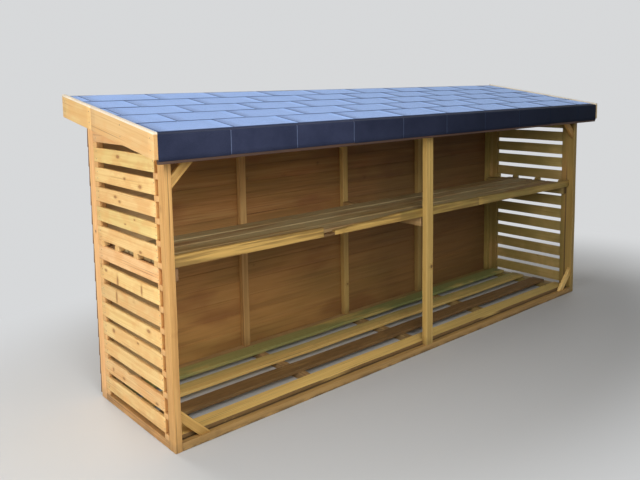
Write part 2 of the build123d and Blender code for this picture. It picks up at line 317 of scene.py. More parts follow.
def corners_of(node):
    """The low and the high corner of a node's box."""
    return tuple(np.array(corner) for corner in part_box(node))


def placed(name, data):
    """An object at the origin, put into the scene."""
    built = bpy.data.objects.new(name, data)
    bpy.context.scene.collection.objects.link(built)
    return built


def assemble(name, parts, material, slot, *nodes):
    """Joins the surfaces in parts into one piece with one material, in place of the nodes named."""
    starts = np.cumsum([0] + [len(part["points"]) for part in parts])
    faces, smooth = [], []
    for part, start in zip(parts, starts):
        faces += (part["quads"] + start).tolist() + [(cap + start).tolist() for cap in part["caps"]]
        smooth += [True] * len(part["quads"]) + [False] * len(part["caps"])
    mesh = bpy.data.meshes.new(name)
    mesh.from_pydata(np.concatenate([part["points"] for part in parts]).tolist(), [], faces)
    mesh.polygons.foreach_set("use_smooth", smooth)
    for held in ("grain", "piece"):
        if held in parts[0]:
            values = np.concatenate([part[held] for part in parts]).astype(np.float32)
            mesh.attributes.new(held, "FLOAT_VECTOR", "POINT").data.foreach_set("vector", values.ravel())
    mesh.materials.append(material)
    built = placed(name, mesh)
    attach(built, "root")
    if nodes:
        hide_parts(*nodes)


def dress(grain, material, *nodes, slot="frame_timber", lift=0, tones=None, **more):
    """One timber for each solid of each node. Lift keeps the foot's slow wave off the ground, and tones
    holds a lightness and a hue for each solid."""
    for node in nodes:
        boxes = solids(node)
        timbers = [straight(low + (0, 0, lift), high, grain, tone=tone, **more)
                   for (low, high), tone in zip(boxes, tones or [None] * len(boxes))]
        assemble(node + "_wood", timbers, material, slot, node)


def splashed_and_shaded(tree, colour):
    """Rain splash in the lowest 150 mm, and an olive darkening in patches over the right end, partly algae
    and partly painted shade for the dimmer light there, less on the outer faces and along the open front,
    which dry sooner and get more light. At the right the joint between the post and the panel is painted
    black, partly grime and partly painted shade of the gap."""
    x, y, z = split(here(tree))
    patch = between(clouds(here(tree), 14, 3), 0.3, 0.65)
    colour = mixed(times(between(z, 0.16, 0), patch, 0.28), colour, splash_brown)
    # Painted shade in part: the olive darkening towards the right end stands for the dimmer light there as
    # well as algae.
    broad = between(clouds(here(tree), 3, 4, 0.6), 0.2, 0.6, 0.5, 0.85)
    share = times(between(x, -0.2, 1.7), broad, between(facing(tree, "x"), 0.3, 0.9, 1, 0.45),
                  between(y, -0.31, -0.28, 0.75, 1))
    colour = mixed(share, colour, algae_and_shade_olive)
    # Painted shade in part: the black line along the right post's joint stands for the shade in the gap as
    # well as grime.
    off_joint = calc("ABSOLUTE", minus(y, panel_joint))
    dirt_and_shade = times(between(off_joint, 0.006, 0.0025), between(z, 1.05, 0.75), between(x, 1.60, 1.62, 0, 0.75))
    return mixed(dirt_and_shade, colour, joint_dirt_and_shade)


draw = np.random.default_rng(11)
panel_joint = corners_of("front_right_post")[1][1]
post_wood = wood("post_wood", honey_pale, honey_dark, streaks=0.7, wear=splashed_and_shaded)
centre_wood = wood("centre_wood", (206, 168, 98), (158, 114, 56), streaks=0.7, wear=splashed_and_shaded)
dress("z", post_wood, "front_left_post", "front_right_post", cut=roof_slope)
dress("z", centre_wood, "centre_post")

# Back posts and studs: the same timber, upright against the cladding, which is nailed to them from
# outside. The studs stand on the back sill between the end posts, under the back rail.
stud_wood = wood("stud_wood", (208, 170, 102), (160, 120, 64), wear=splashed_and_shaded)
back_post_wood = wood("back_post_wood", (242, 194, 128), (208, 150, 84), wear=splashed_and_shaded)
dress("z", back_post_wood, "back_left_post", "back_right_post", cut=roof_slope)
dress("z", stud_wood, "back_studs")

# Side panels: notched stiles and two rails make a frame, and sawn slats are nailed into the notches, flush
# with the stiles' teeth and a little short of the posts, with gaps between them for the air. Four blocks fill
# out the gap at the level of the shelf. The slats are a paler, knottier cut of the same treated timber.
slat_thick = 0.016
slat_count = 14
slat_pitch = 0.097
slat_height = 0.070
least_tooth = 0.010
slat_pale = (242, 204, 138)
slat_dark = (210, 155, 85)
slat_knot = (150, 96, 50)
slat_orange = (224, 158, 88)
# Painted shade: the orange brown put inside the notches, paler above and darker towards the foot.
notch_shade_pale = (196, 132, 70)
notch_shade_dark = (140, 90, 42)
panel_low = corners_of("left_front_stile")[0]
post_low, post_high = corners_of("front_left_post")


def stile(node):
    """The strip behind the slats' ends, its top cut to the roof, and the teeth between its notches."""
    low, high = corners_of(node)
    at_left = low[0] < 0
    notch_floor = low[0] + slat_thick if at_left else high[0] - slat_thick
    strip, tooth = (low[0], notch_floor), (notch_floor, high[0])
    if at_left:
        strip, tooth = tooth, strip
    parts = [straight((strip[0], *low[1:]), (strip[1], *high[1:]), "z", cut=roof_slope)]
    for number in range(slat_count + 1):
        foot = low[2] + number * slat_pitch
        under_slat = number < slat_count
        head = foot + slat_pitch - slat_height if under_slat else high[2]
        if foot < high[2] - least_tooth:
            parts.append(straight((tooth[0], low[1], foot), (tooth[1], high[1], head), "z",
                                  cut=0 if under_slat else roof_slope, bow=0,
                                  tone=(0.5 + draw.uniform(-0.1, 0.1), 0.5)))
    return parts


def notch_shade_and_splash(tree, colour):
    """Painted shade: inside the notches and the panel the timber is coloured a darker orange brown than the
    face, darker still low down, for the shade in the recesses; over it go the splash, algae and painted shade
    of the right end.
    """
    depth = minus(abs(panel_low[0]), calc("ABSOLUTE", at(tree, "x")))
    notch_shade_tone = mixed(between(at(tree, "z"), 0.6, 0.4), notch_shade_pale, notch_shade_dark)
    return splashed_and_shaded(tree, washed(colour, notch_shade_tone, depth, slat_thick - 0.003, slat_thick - 0.001, 0.6))


stile_wood = wood("stile_wood", (230, 180, 116), (196, 140, 78), spread=0.05, wear=notch_shade_and_splash)
for node in ("left_front_stile", "left_back_stile", "right_front_stile", "right_back_stile"):
    assemble(node + "_wood", stile(node), stile_wood, "frame_timber", node)
dress("y", post_wood, "left_bottom_rail", "right_bottom_rail", lift=0.001)
dress("y", stud_wood, "left_top_rail", "right_top_rail", rise=roof_slope)

# The knots that show on the left panel: number of the slat from the ground, place along it from the face of
# the front post, place up it, and half the knot's length and height. The upright ones edge resin pockets.
left_knots = (
    (13, 0.437, 0.60, 0.017, 0.008), (12, 0.373, 0.62, 0.012, 0.006), (12, 0.223, 0.31, 0.016, 0.008),
    (11, 0.486, 0.62, 0.016, 0.007), (11, 0.442, 0.37, 0.012, 0.006), (10, 0.391, 0.35, 0.010, 0.004),
    (10, 0.292, 0.83, 0.008, 0.004), (9, 0.248, 0.20, 0.012, 0.006), (7, 0.636, 0.70, 0.014, 0.007),
    (7, 0.508, 0.31, 0.009, 0.024), (7, 0.255, 0.44, 0.008, 0.022), (6, 0.525, 0.51, 0.009, 0.030),
    (5, 0.205, 0.69, 0.016, 0.008), (4, 0.583, 0.65, 0.014, 0.010), (4, 0.321, 0.79, 0.010, 0.005),
    (2, 0.157, 0.20, 0.014, 0.006), (2, 0.494, 0.33, 0.014, 0.007),
)
far_off = 9
yellow_slats = (9, 12)
peach_slats = (7, 13)
yellow_hue = 0.95
peach_hue = 0.15
dented_slat = 1
dent_depth = 0.009
dent_place = 0.57
dent_spread = 0.045


def distance(vector):
    """The length of a vector."""
    return add("VectorMath", {0: vector}, operation="LENGTH")["Value"]


def marked(tree, colour):
    """The knots of the left panel, each the inside of an ellipse with a soft halo, over an orange mottle."""
    place = here(tree)
    near = far_off
    for slat, along, up, long_half, high_half in left_knots:
        level = panel_low[2] + slat * slat_pitch - slat_height * (1 - up)
        centre = (0, post_low[1] + along, level)
        offset = add("VectorMath", {0: place, 1: centre}, operation="SUBTRACT")[0]
        near = calc("MINIMUM", near, distance(stretched(offset, (0, 1 / long_half, 1 / high_half))))
    mottle = clouds(place, (1, 7, 16), 4, 0.6)
    colour = washed(colour, slat_orange, mottle, 0.42, 0.62, 0.4)
    ragged = plus(near, times(clouds(place, 160), 0.6))
    colour = washed(colour, slat_dark, ragged, 2.6, 1.1, 0.6)
    return splashed_and_shaded(tree, washed(colour, slat_knot, ragged, 1.6, 0.9, 0.75))


def dented(s, w, t):
    """A waney dent in the upper edge of one slat, as deep as a bell curve along the slat."""
    dent = dent_depth * np.exp(-((s - dent_place) / dent_spread) ** 2)
    return np.where(w > 0, w - dent, w), t


back_post_y = corners_of("back_left_post")[0][1]
slat_look = {"knot": slat_knot, "rings": 0.25, "spread": 0.06, "tint": 0.014}
left_wood = wood("left_slat_wood", slat_pale, slat_dark, knot_share=0.05, wear=marked, **slat_look)
right_wood = wood("right_slat_wood", slat_pale, slat_dark, knot_share=0.35, wear=splashed_and_shaded, **slat_look)
for node, material in (("left_side_slats", left_wood), ("right_side_slats", right_wood)):
    slats = []
    for number, (low, high) in enumerate(sorted(solids(node), key=lambda box: box[0][2])):
        low[1] += draw.uniform(0.0003, 0.0020)
        high[1] = back_post_y - draw.uniform(0.0005, 0.0020)
        if number in yellow_slats + peach_slats:
            hue = yellow_hue if number in yellow_slats else peach_hue
        else:
            hue = draw.uniform(0.35, 0.7)
        shape = {"form": dented, "spacing": 0.008} if number == dented_slat and material is left_wood else {}
        slats.append(straight(low, high, "y", radius=0.0022, bow=0.0010, tone=(draw.random(), hue), **shape))
    assemble(node + "_wood", slats, material, "slat_timber", node)

block_places = (0.107, 0.306, 0.502, 0.668)
block_length = 0.036
block_slat = 8
block_inset = 0.001
block_foot = panel_low[2] + block_slat * slat_pitch
for name, low_x, high_x in (("left_shelf_blocks", post_low[0] + block_inset, post_high[0]),
                            ("right_shelf_blocks", -post_high[0], -post_low[0] - block_inset)):
    blocks = []
    for along in block_places:
        y = post_low[1] + along
        low = (low_x, y - block_length / 2, block_foot)
        high = (high_x, y + block_length / 2, block_foot + slat_pitch - slat_height)
        blocks.append(straight(low, high, "x", radius=0.001, bow=0, tone=(0.9, 0.5)))
    assemble(name, blocks, right_wood, "slat_timber")

# Sills and bearers: the frame that lies on the ground, with five bearers across it to carry the floor boards.
# The sills soak up the wet and go grey brown, and soil gathers in the corner behind the front one.
soil_brown = (74, 54, 30)
soil_line = 0.028
soil_ragged = 0.016


def muddy(tree, colour):
    """Soil on the sill's upper face behind a ragged line, and the colour darkened to soil brown in ragged
    patches towards its foot.
    """
    ragged = clouds(here(tree), (9, 30, 30), 3, 0.7)
    behind = plus(minus(at(tree, "y"), post_low[1] + soil_line), times(minus(ragged, 0.5), soil_ragged))
    back = times(between(behind, -0.003, 0.003), calc("GREATER_THAN", facing(tree, "z"), 0.5))
    foot = times(between(at(tree, "z"), 0.026, 0.004), between(ragged, 0.35, 0.6), 0.75)
    return mixed(times(calc("MAXIMUM", back, foot), 0.92), colour, soil_brown)


front_sill_wood = wood("front_sill_wood", (178, 136, 82), (130, 94, 54), streaks=0.75, wear=muddy)
sill_wood = wood("sill_wood", (176, 138, 92), (126, 94, 58), wear=splashed_and_shaded)
dress("x", front_sill_wood, "front_sill", lift=0.0012, bow=0.0007)
dress("x", sill_wood, "back_sill", lift=0.0012, bow=0.0007)
dress("y", sill_wood, "floor_bearers", lift=0.001)

# Floor boards: four sawn boards laid along the store with wide gaps, nailed to the bearers. The first is
# ochre with dirt along its front edge, the second is brown with soil, and algae has taken the last two.
soil_pale = (142, 106, 62)
board_algae = (132, 138, 82)
board_bow = 0.0015
floor_tones = ((0.95, 0.75), (0.35, 0.4), (0.6, 0.6), (0.5, 0.8))
front_edge = corners_of("floor_boards")[0][1]


def trodden(tree, colour):
    """Soil on the second board and on the front edge of the first, and algae that thickens towards the back
    and the right end, in patches drawn out along the boards."""
    y = at(tree, "y")
    patch = clouds(here(tree), (1.6, 9, 9), 4, 0.6)
    fine = clouds(here(tree), (12, 40, 40), 3, 0.7)
    deep = plus(between(y, 0, 0.24, 0.1, 1.1), between(at(tree, "x"), -0.8, 1.6, 0, 0.4))
    green = times(deep, between(patch, 0.28, 0.52, 0.25, 0.8))
    colour = mixed(green, colour, board_algae)
    second = times(between(y, -0.19, -0.16), between(y, 0, -0.03))
    soil = times(second, between(patch, 0.25, 0.5, 0.55, 0.95))
    lip = times(between(y, front_edge + 0.0022, front_edge + 0.0008), between(fine, 0.25, 0.45, 0.6, 0.95))
    return mixed(calc("MAXIMUM", soil, lip), colour, mixed(fine, soil_brown, soil_pale))


board_wood = wood("board_wood", (244, 202, 122), (204, 156, 84), streaks=0.7, wear=trodden)
dress("x", board_wood, "floor_boards", slot="board_timber", bow=board_bow, tones=floor_tones)

# Top rails: one over the open front and one along the back, sawn to the posts' own section. They are
# screwed to the heads of the posts, and carry the rafters.
dress("x", stud_wood, "front_top_rail", "back_top_rail")

# Shelf: a bearer at each end and one at the centre post carry four boards, and a rail of waney-edged stock
# closes the front. The rail has lost a stretch to rot, its upper edge is waney beyond the break, and it is
# in two lengths that meet past the centre post.
rail_drop = 0.0037
rail_left_height = 0.054
rail_right_height = 0.048
rail_over_bearers = 0.005
break_start = 0.900
break_end = 0.975
break_height = 0.016
wane_end = 1.560
wane_depth = 0.026
rail_joint = 2.205
half_joint = 0.0006
olive_start = 1.46
bark_brown = (92, 62, 34)
rail_olive = (118, 108, 50)
rail_band = (128, 98, 44)
sun_grey = (182, 166, 122)
store_left = post_low[0]
rail_low, rail_high = corners_of("shelf_front_rail")
rail_foot = corners_of("shelf_bearers")[1][2] + rail_over_bearers
rail_start = rail_low[0] - store_left
rail_end = rail_high[0] - store_left


def rail_edges(along):
    """Foot and head of the rail at a distance from the left end of the store."""
    run = along - rail_start
    foot = rail_foot - run * rail_drop
    head = foot + rail_left_height + (rail_right_height - rail_left_height) * run / (rail_end - rail_start)
    wane = np.clip((wane_end - along) / (wane_end - break_end), 0, 1) * (along > break_end - 1e-4)
    remnant = (along > break_start + 1e-4) & (along < break_end - 1e-4)
    return foot, np.where(remnant, foot + break_height, head - wane_depth * wane)


def rail_length(start, end, tone, ragged=0):
    """One length of the rail: the box's height w is mapped on the rail's foot and head at each station."""
    middle = (rail_low[2] + rail_high[2]) / 2
    half = (rail_high[2] - rail_low[2]) / 2

    def shaped(s, w, t):
        along = np.clip(start + s * (end - start), start + 2e-4, end - 2e-4)
        foot, head = rail_edges(along)
        head = head - 0.0012 + 0.0010 * np.sin(9 * along) * np.sin(3.1 * along + 1)
        foot = foot + 0.0006 + 0.0006 * np.sin(7 * along + 2)
        rough = ragged * np.abs(np.sin(160 * along) * np.sin(57 * along + 1))
        return foot - middle + (w + half) / (2 * half) * (head - rough - foot), t

    low = (store_left + start, rail_low[1], rail_low[2])
    high = (store_left + end, rail_high[1], rail_high[2])
    return straight(low, high, "x", form=shaped, tone=tone, spacing=0.012 if ragged else station_gap)


def aged(tree, colour):
    """Bark brown in the broken stretch, olive where algae has settled from the centre post to the right end,
    and darker bands along the grain."""
    along = at(tree, "x")
    off_break = calc("ABSOLUTE", minus(along, (break_start + break_end) / 2 + store_left))
    colour = washed(colour, bark_brown, off_break, 0.042, 0.034, 0.85)
    patch = clouds(here(tree), (4, 20, 20), 3)
    olive = times(between(along, store_left + olive_start, store_left + olive_start + 0.03),
                  between(patch, 0.3, 0.6, 0.35, 0.7))
    colour = mixed(olive, colour, rail_olive)
    band = clouds(here(tree), (2.5, 1, 60), 3)
    return washed(colour, rail_band, band, 0.42, 0.6, 0.75)


def faded(tree, colour):
    """Pale olive grey patches, drawn out along the boards, where the sun through the open front has faded the
    wood.
    """
    patch = clouds(here(tree), (2, 14, 14), 4, 0.6)
    return washed(colour, sun_grey, patch, 0.35, 0.6, 0.7)


shelf_wood = wood("shelf_wood", (170, 138, 86), (120, 92, 52), streaks=0.8, spread=0.08, wear=faded)
rail_wood = wood("rail_wood", (206, 166, 90), (162, 120, 56), spread=0.15, wear=aged)
dress("y", sill_wood, "shelf_bearers")
dress("x", shelf_wood, "shelf_boards", slot="board_timber", bow=board_bow)
rail_lengths = [rail_length(rail_start, break_start, (0.6, 0.5)),
                rail_length(break_start, break_end, (0.2, 0.4), ragged=0.004),
                rail_length(break_end, rail_joint - half_joint, (0.6, 0.6)),
                rail_length(rail_joint + half_joint, rail_end, (0.35, 0.6))]
assemble("shelf_front_rail_wood", rail_lengths, rail_wood, "board_timber", "shelf_front_rail")

# Braces: short pieces of batten let into the corners of the front at 45 degrees, their ends cut to lie
# flat on the post and on the sill or the rail, and nailed through the narrow face.
diagonal = 2 ** 0.5
brace_width = 0.040


def brace(node, mirrored, upper):
    """A batten whose start ring lies on the face of the post and whose end ring lies on the sill or rail."""
    low, high = corners_of(node)
    depth = (low[1] + high[1]) / 2
    leg = brace_width * diagonal
    near, post_x, far_x = (-1, high[0], low[0]) if mirrored else (1, low[0], high[0])
    lift, level, tip = (1, high[2], low[2]) if upper else (-1, low[2], high[2])
    first = (post_x, depth, tip + lift * leg / 2)
    last = (far_x - near * leg / 2, depth, level)
    return carried(first, last, (near / diagonal, 0, -lift / diagonal), (0, 1, 0), brace_width,
                   high[1] - low[1], (near * diagonal, 0, 0), (0, 0, -lift * diagonal))


brace_wood = wood("brace_wood", (210, 164, 92), (166, 116, 56), streaks=0.7)
# The bottom right brace has a paler copy of the brace timber: painted light for the light that falls on it.
painted_light_brace_wood = wood("painted_light_brace_wood", (240, 208, 128), (204, 160, 84), streaks=0.7)
for node in ("brace_bottom_left", "brace_bottom_right", "brace_top_left", "brace_top_right"):
    material = painted_light_brace_wood if node == "brace_bottom_right" else brace_wood
    assemble(node + "_wood", [brace(node, "right" in node, "top" in node)], material, "frame_timber", node)

# Back cladding: feather-edged boards nailed from outside, each lapping over the head of the one below, and
# dipped in a red-brown stain that has stayed darker than the frame.
course = 0.098
lap = 0.018
board_head = 0.005
board_foot = 0.010
board_lean = 0.0075
# Painted light: the tan that pales the wall towards its foot.
painted_light_tan_foot = (208, 158, 88)
olive_brown = (142, 112, 54)
dark_grain = (104, 72, 36)
worn_tan = (206, 164, 100)
red_blotch = (136, 76, 40)
# Painted shade and painted light of the inner face: the dim brown of the right end and the pale tan of the
# left end.
painted_shade_brown = (84, 58, 30)
painted_light_tan = (236, 200, 144)
end_bark = (84, 46, 28)
clad_low, clad_high = corners_of("back_cladding")


def feathered(s, w, t):
    """A wedge: 5 mm thick at the head and 10 at the foot, leaning out over the board below."""
    down = 0.5 - w / (course + lap)
    return w, t / board_foot * (board_head + (board_foot - board_head) * down) + board_lean * (down - 1)


def stain_and_painted_light(tree, colour):
    """Stain with olive patches, dark and worn tan streaks and reddish blotches. Painted light: the wall turns
    paler tan towards its foot, below the roof's shade, and its inner face paler tan behind the slats of the
    left end, where the
    light comes in. Painted shade: the inner face darkens towards the right end. The sawn ends are nearly as
    dark as bark."""
    place = here(tree)
    along = at(tree, "x")
    worn = clouds(place, (1.3, 1, 34), 3, 0.55)
    # Painted light: paler tan towards the foot, for the wall below the roof's shade.
    colour = washed(colour, painted_light_tan_foot, at(tree, "z"), 0.85, 0.2, 0.6)
    colour = washed(colour, olive_brown, clouds(place, (1.1, 1.1, 3), 3), 0.35, 0.62, 0.65)
    colour = washed(colour, dark_grain, worn, 0.5, 0.32, 0.28)
    colour = washed(colour, worn_tan, worn, 0.52, 0.7, 0.3)
    colour = washed(colour, red_blotch, clouds(place, (2, 2, 5), 3), 0.5, 0.7, 0.45)
    # Painted shade and light on the inner face: darker towards the right end, paler tan at the left end
    # behind the slats.
    inside = between(facing(tree, "y"), 0.2, -0.2)
    colour = mixed(times(inside, between(along, -1.5, 1.4, 0, 0.7)), colour, painted_shade_brown)
    colour = mixed(times(inside, between(along, -1.22, -1.45, 0, 0.85)), colour, painted_light_tan)
    to_end = minus(calc("ABSOLUTE", along), clad_high[0])
    return washed(colour, end_bark, to_end, -0.002, -0.001, 0.8)


clad_wood = wood("clad_wood", (182, 128, 70), (142, 94, 48), (98, 60, 32), spread=0.09, tint=0.004,
                 knot_share=0.04, wear=stain_and_painted_light)
boards = []
for foot in np.arange(clad_low[2], clad_high[2] - 0.02, course):
    low = (clad_low[0], clad_low[1] + board_head, foot)
    high = (clad_high[0], clad_low[1] + board_head + board_foot, min(foot + course + lap, clad_high[2]))
    boards.append(straight(low, high, "x", form=feathered, radius=0.001, bow=0.0004))
assemble("back_cladding_wood", boards, clad_wood, "cladding_timber", "back_cladding")

# Roof frame: rafters from front to back, boards nailed across them, a fascia along each eave and planed
# bargeboards over the ends. The left bargeboard is in two lengths that meet over the back of the panel.
deck_count = 9
deck_gap = 0.001
barge_joint = 0.1315
barge_gap = 0.0008
barge_orange = (228, 166, 96)
barge_algae = (226, 214, 168)
# Painted highlight colour of the bargeboard's upper edge.
painted_highlight_cream = (250, 238, 216)
dress("y", stud_wood, "left_end_rafter", "right_end_rafter", "rafters", rise=roof_slope)
deck_low, deck_high = corners_of("roof_boards")
deck_depth = (deck_high[1] - deck_low[1]) / deck_count
deck_rise = deck_depth * roof_slope
deck_body = deck_high[2] - deck_low[2] - deck_count * deck_rise
deck_boards = []
for step in range(deck_count):
    low = deck_low + (0, step * deck_depth, step * deck_rise)
    high = (deck_high[0], low[1] + deck_depth - deck_gap, low[2] + deck_body + deck_rise)
    deck_boards.append(straight(low, high, "x", rise=roof_slope, bow=0))
assemble("roof_boards_wood", deck_boards, stud_wood, "board_timber", "roof_boards")
fascia_wood = wood("fascia_wood", (82, 58, 42), (58, 42, 32))
dress("x", fascia_wood, "front_fascia", "back_fascia")
barge_low, barge_high = corners_of("left_bargeboard")
barge_body = barge_high[2] - barge_low[2] - roof_slope * (barge_high[1] - barge_low[1])


def algae_and_painted_highlight(tree, colour):
    """A painted highlight: the upper edge is pale cream, as where it catches the light, and the right end
    paler with algae.
    """
    under_edge = plus(at(tree, "z"), times(minus(barge_high[1], at(tree, "y")), roof_slope), -barge_high[2])
    mottle = clouds(here(tree), (1, 7, 16), 4, 0.6)
    colour = washed(colour, barge_orange, mottle, 0.42, 0.62, 0.35)
    colour = washed(colour, barge_algae, at(tree, "x"), 0, 1.5, 0.6)
    # Painted highlight along the upper edge.
    return washed(colour, painted_highlight_cream, under_edge, -0.010, -0.006, 0.8)


barge_wood = wood("barge_wood", (234, 195, 132), (206, 150, 84), (150, 92, 44), streaks=0.5, rings=0.2,
                  spread=0.03, tint=0.004, rough=0.5, wear=algae_and_painted_highlight)
for node, joints in (("left_bargeboard", (barge_joint,)), ("right_bargeboard", ())):
    low, high = corners_of(node)
    edges = [low[1], *joints, high[1]]
    lengths = []
    for start, end in zip(edges[:-1], edges[1:]):
        foot = low[2] + (start - low[1]) * roof_slope
        top = foot + barge_body + (end - start) * roof_slope
        lengths.append(straight((low[0], start, foot), (high[0], end - barge_gap, top), "y", rise=roof_slope))
    assemble(node + "_wood", lengths, barge_wood, "barge_timber", node)

# Roof felt: mineral shingles in five courses over a base sheet, each course cut into tabs by narrow slots
# that stagger from one course to the next. They are nailed under the lap, and the blue-grey grit shows.
tab_width = 0.361
least_tab = 0.008
slot_width = 0.006
course_count = 5
course_lap = 0.03
starter_depth = 0.036
barge_rise = 0.006
curl = 0.0022
stagger = (0.94, 0.42, 0.9, 0.4, 0.85)
bitumen = (38, 42, 56)
# Painted shade: the tint that darkens the felt of the right end.
painted_shade_blue = (90, 116, 136)
sheen_blue = (0.36, 0.56, 1, 1)
sky_tint = (0.5, 0.7, 1, 1)
pale_tint = (0.7, 0.82, 1, 1)
felt_low, felt_high = corners_of("roof_shingles")
starter_y = barge_low[1] + starter_depth
course_depth = (felt_high[1] - starter_y) / course_count


def felt(name, pale, dark, spread, rough, shine, tint, edge_share=0, painted_shade_share=0, sheen=0):
    """Mineral felt: grit as fine noise in colour and bump over soft clouds of weathering. Edge share is how
    black the bitumen shows on the cut edges; the share after it is how far the right end is darkened, as
    painted shade for its dimmer light. Sheen is the bloom of the grit where it is seen at a flat angle."""
    material, tree, shader = new_material(name)
    grit = clouds(here(tree), 700, 2, 0.7)
    soft = clouds(here(tree), 5, 4, 0.6)
    right = at(tree, "x")
    depth = plus(times(between(grit, 0.35, 0.65), 0.5), times(between(soft, 0.3, 0.7), 0.5))
    light = between(split(attribute(tree, "piece"))[0], 0, 1, 1 - spread, 1 + spread)
    colour = add("HueSaturation", {"Value": light, "Color": mixed(depth, pale, dark)})[0]
    edge = times(between(facing(tree, "z"), 0.75, 0.45),
                 between(right, -0.8, 1, edge_share, edge_share * 0.45))
    colour = mixed(edge, colour, bitumen)
    # Painted shade: the felt darkens towards the right end.
    colour = mixed(between(right, -1.2, 1.5, 0, painted_shade_share), colour, painted_shade_blue, "MULTIPLY")
    bump = add("Bump", {"Height": grit, "Strength": 0.5, "Distance": 0.001})[0]
    fill(shader, {"Base Color": colour, "Roughness": rough, "Specular IOR Level": shine, "Normal": bump,
                  "Specular Tint": tint, "Sheen Weight": sheen, "Sheen Roughness": 0.45,
                  "Sheen Tint": sheen_blue})
    return material


def felt_top(y):
    """Height of the finished roof over a depth y."""
    return barge_high[2] - barge_rise - (barge_high[1] - y) * roof_slope


# The roof felt is written paler than the skirt felt of the same roll: painted light for the upper faces.
roof_felt = felt("roof_felt", (108, 122, 160), (84, 98, 136), 0.015, 0.34, 0.5, sky_tint, edge_share=0.62,
                 painted_shade_share=0.85, sheen=0.8)
base_felt = felt("base_felt", (70, 80, 112), (50, 58, 84), 0, 0.6, 0.3, pale_tint)
base_y = felt_low[1] + 0.002
base_sheet = straight((felt_low[0], base_y, felt_top(base_y) - 0.005),
                      (*felt_high[:2], felt_top(felt_high[1]) - 0.0035), "x", rise=roof_slope, radius=0.0006,
                      bow=0)
assemble("roof_base_felt", [base_sheet], base_felt, "shingle_felt")
tabs = []
for row, offset in enumerate(stagger):
    front_y = starter_y + row * course_depth
    back_y = min(front_y + course_depth + course_lap, felt_high[1])
    for x in np.arange(felt_low[0] - offset * tab_width, felt_high[0], tab_width):
        low = (max(x + slot_width / 2, felt_low[0]), front_y, felt_top(front_y) - 0.0035)
        high = (min(x + tab_width - slot_width / 2, felt_high[0]), back_y, felt_top(back_y) - 0.0005)
        if high[0] - low[0] < least_tab:
            continue
        lift = draw.uniform(0, 0.0006)

        def curled(s, w, t, lift=lift, depth=back_y - front_y):
            front = 0.5 - w / depth
            return w, t + curl * front + lift * front ** 4 - 0.0015

        tabs.append(straight(low, high, "x", rise=roof_slope, radius=0.0008, bow=0.0003, form=curled))
assemble("roof_felt_tabs", tabs, roof_felt, "shingle_felt", "roof_shingles")

# Felt skirts: a paler backing sheet and over it a strip cut into tabs as wide as the shingles, both folded
# over the eave and nailed down the fascia, front and back. The backing shows in the slots, and the tabs stop
# short of the fascia's foot. The strip's felt is written nearly black, far darker than the roof's felt of the
# same
# roll: painted shade for its shaded face.
fold_radius = 0.006
fold_steps = 6
backing_depth = 0.0015
backing_lift = 0.003
skirt_thick = 0.003
skirt_lift = 0.013
skirt_seam = 0.0045
skirt_drop = 0.0025
under_shingles = 0.055
skirt_tint = (0.7, 0.8, 1, 1)
skirt_felt = felt("skirt_felt", (56, 61, 84), (36, 41, 62), 0.10, 0.65, 0.15, skirt_tint, painted_shade_share=0.95)
backing_felt = felt("backing_felt", (112, 124, 154), (84, 96, 126), 0, 0.6, 0.3, skirt_tint, painted_shade_share=0.95)


def folded(x0, x1, eave_y, outward, foot_z, flare, outside, inside):
    """A bent sheet: its section runs down the roof, round the fold and down the fascia, as an outer line and
    an inner one, each set in from the face of the skirt, and is carried along the eave from x0 to x1."""
    turn = np.radians(np.linspace(0, 90, fold_steps))
    roof_y = np.linspace(eave_y - outward * under_shingles, eave_y - outward * fold_radius, 4)
    drop = np.linspace(0, 1, 6)[1:]
    centre_y = eave_y - outward * fold_radius
    centre_z = felt_top(eave_y) - skirt_drop - fold_radius

    def line(inset):
        bend = fold_radius - inset
        over = np.stack([roof_y, felt_top(roof_y) - skirt_drop - inset], axis=-1)
        over[-1, 1] = centre_z + bend
        fold = np.stack([centre_y + outward * bend * np.sin(turn), centre_z + bend * np.cos(turn)], axis=-1)
        down_y = centre_y + outward * (bend + flare * drop ** 2)
        down = np.stack([down_y, centre_z + (foot_z - centre_z) * drop], axis=-1)
        return np.concatenate([over, fold[1:], down])

    outer, inner = line(outside), line(inside)
    ring = np.concatenate([outer, inner[::-1]])
    last = 2 * len(outer) - 1
    stations = np.linspace(x0 + 0.001, x1 - 0.001, max(2, round((x1 - x0) / station_gap)))
    stations = np.concatenate(([x0], stations, [x1]))
    points = np.empty((len(stations), len(ring), 3))
    points[:, :, 0] = stations[:, None]
    points[:, :, 1:] = ring
    index = np.arange(len(stations) * len(ring)).reshape(len(stations), len(ring))
    quads = ring_faces(index)
    step = np.arange(len(outer) - 1)
    pairs = np.stack([last - step, last - 1 - step, step + 1, step], axis=-1)
    caps = [*index[0][pairs], *index[-1][pairs[:, ::-1]]]
    if outward > 0:
        quads = quads[:, ::-1]
        caps = [cap[::-1] for cap in caps]
    points = points.reshape(-1, 3)
    piece = np.tile([draw.random(), 0, draw.random()], (len(points), 1))
    return {"points": points, "quads": quads, "caps": caps, "grain": points, "piece": piece}


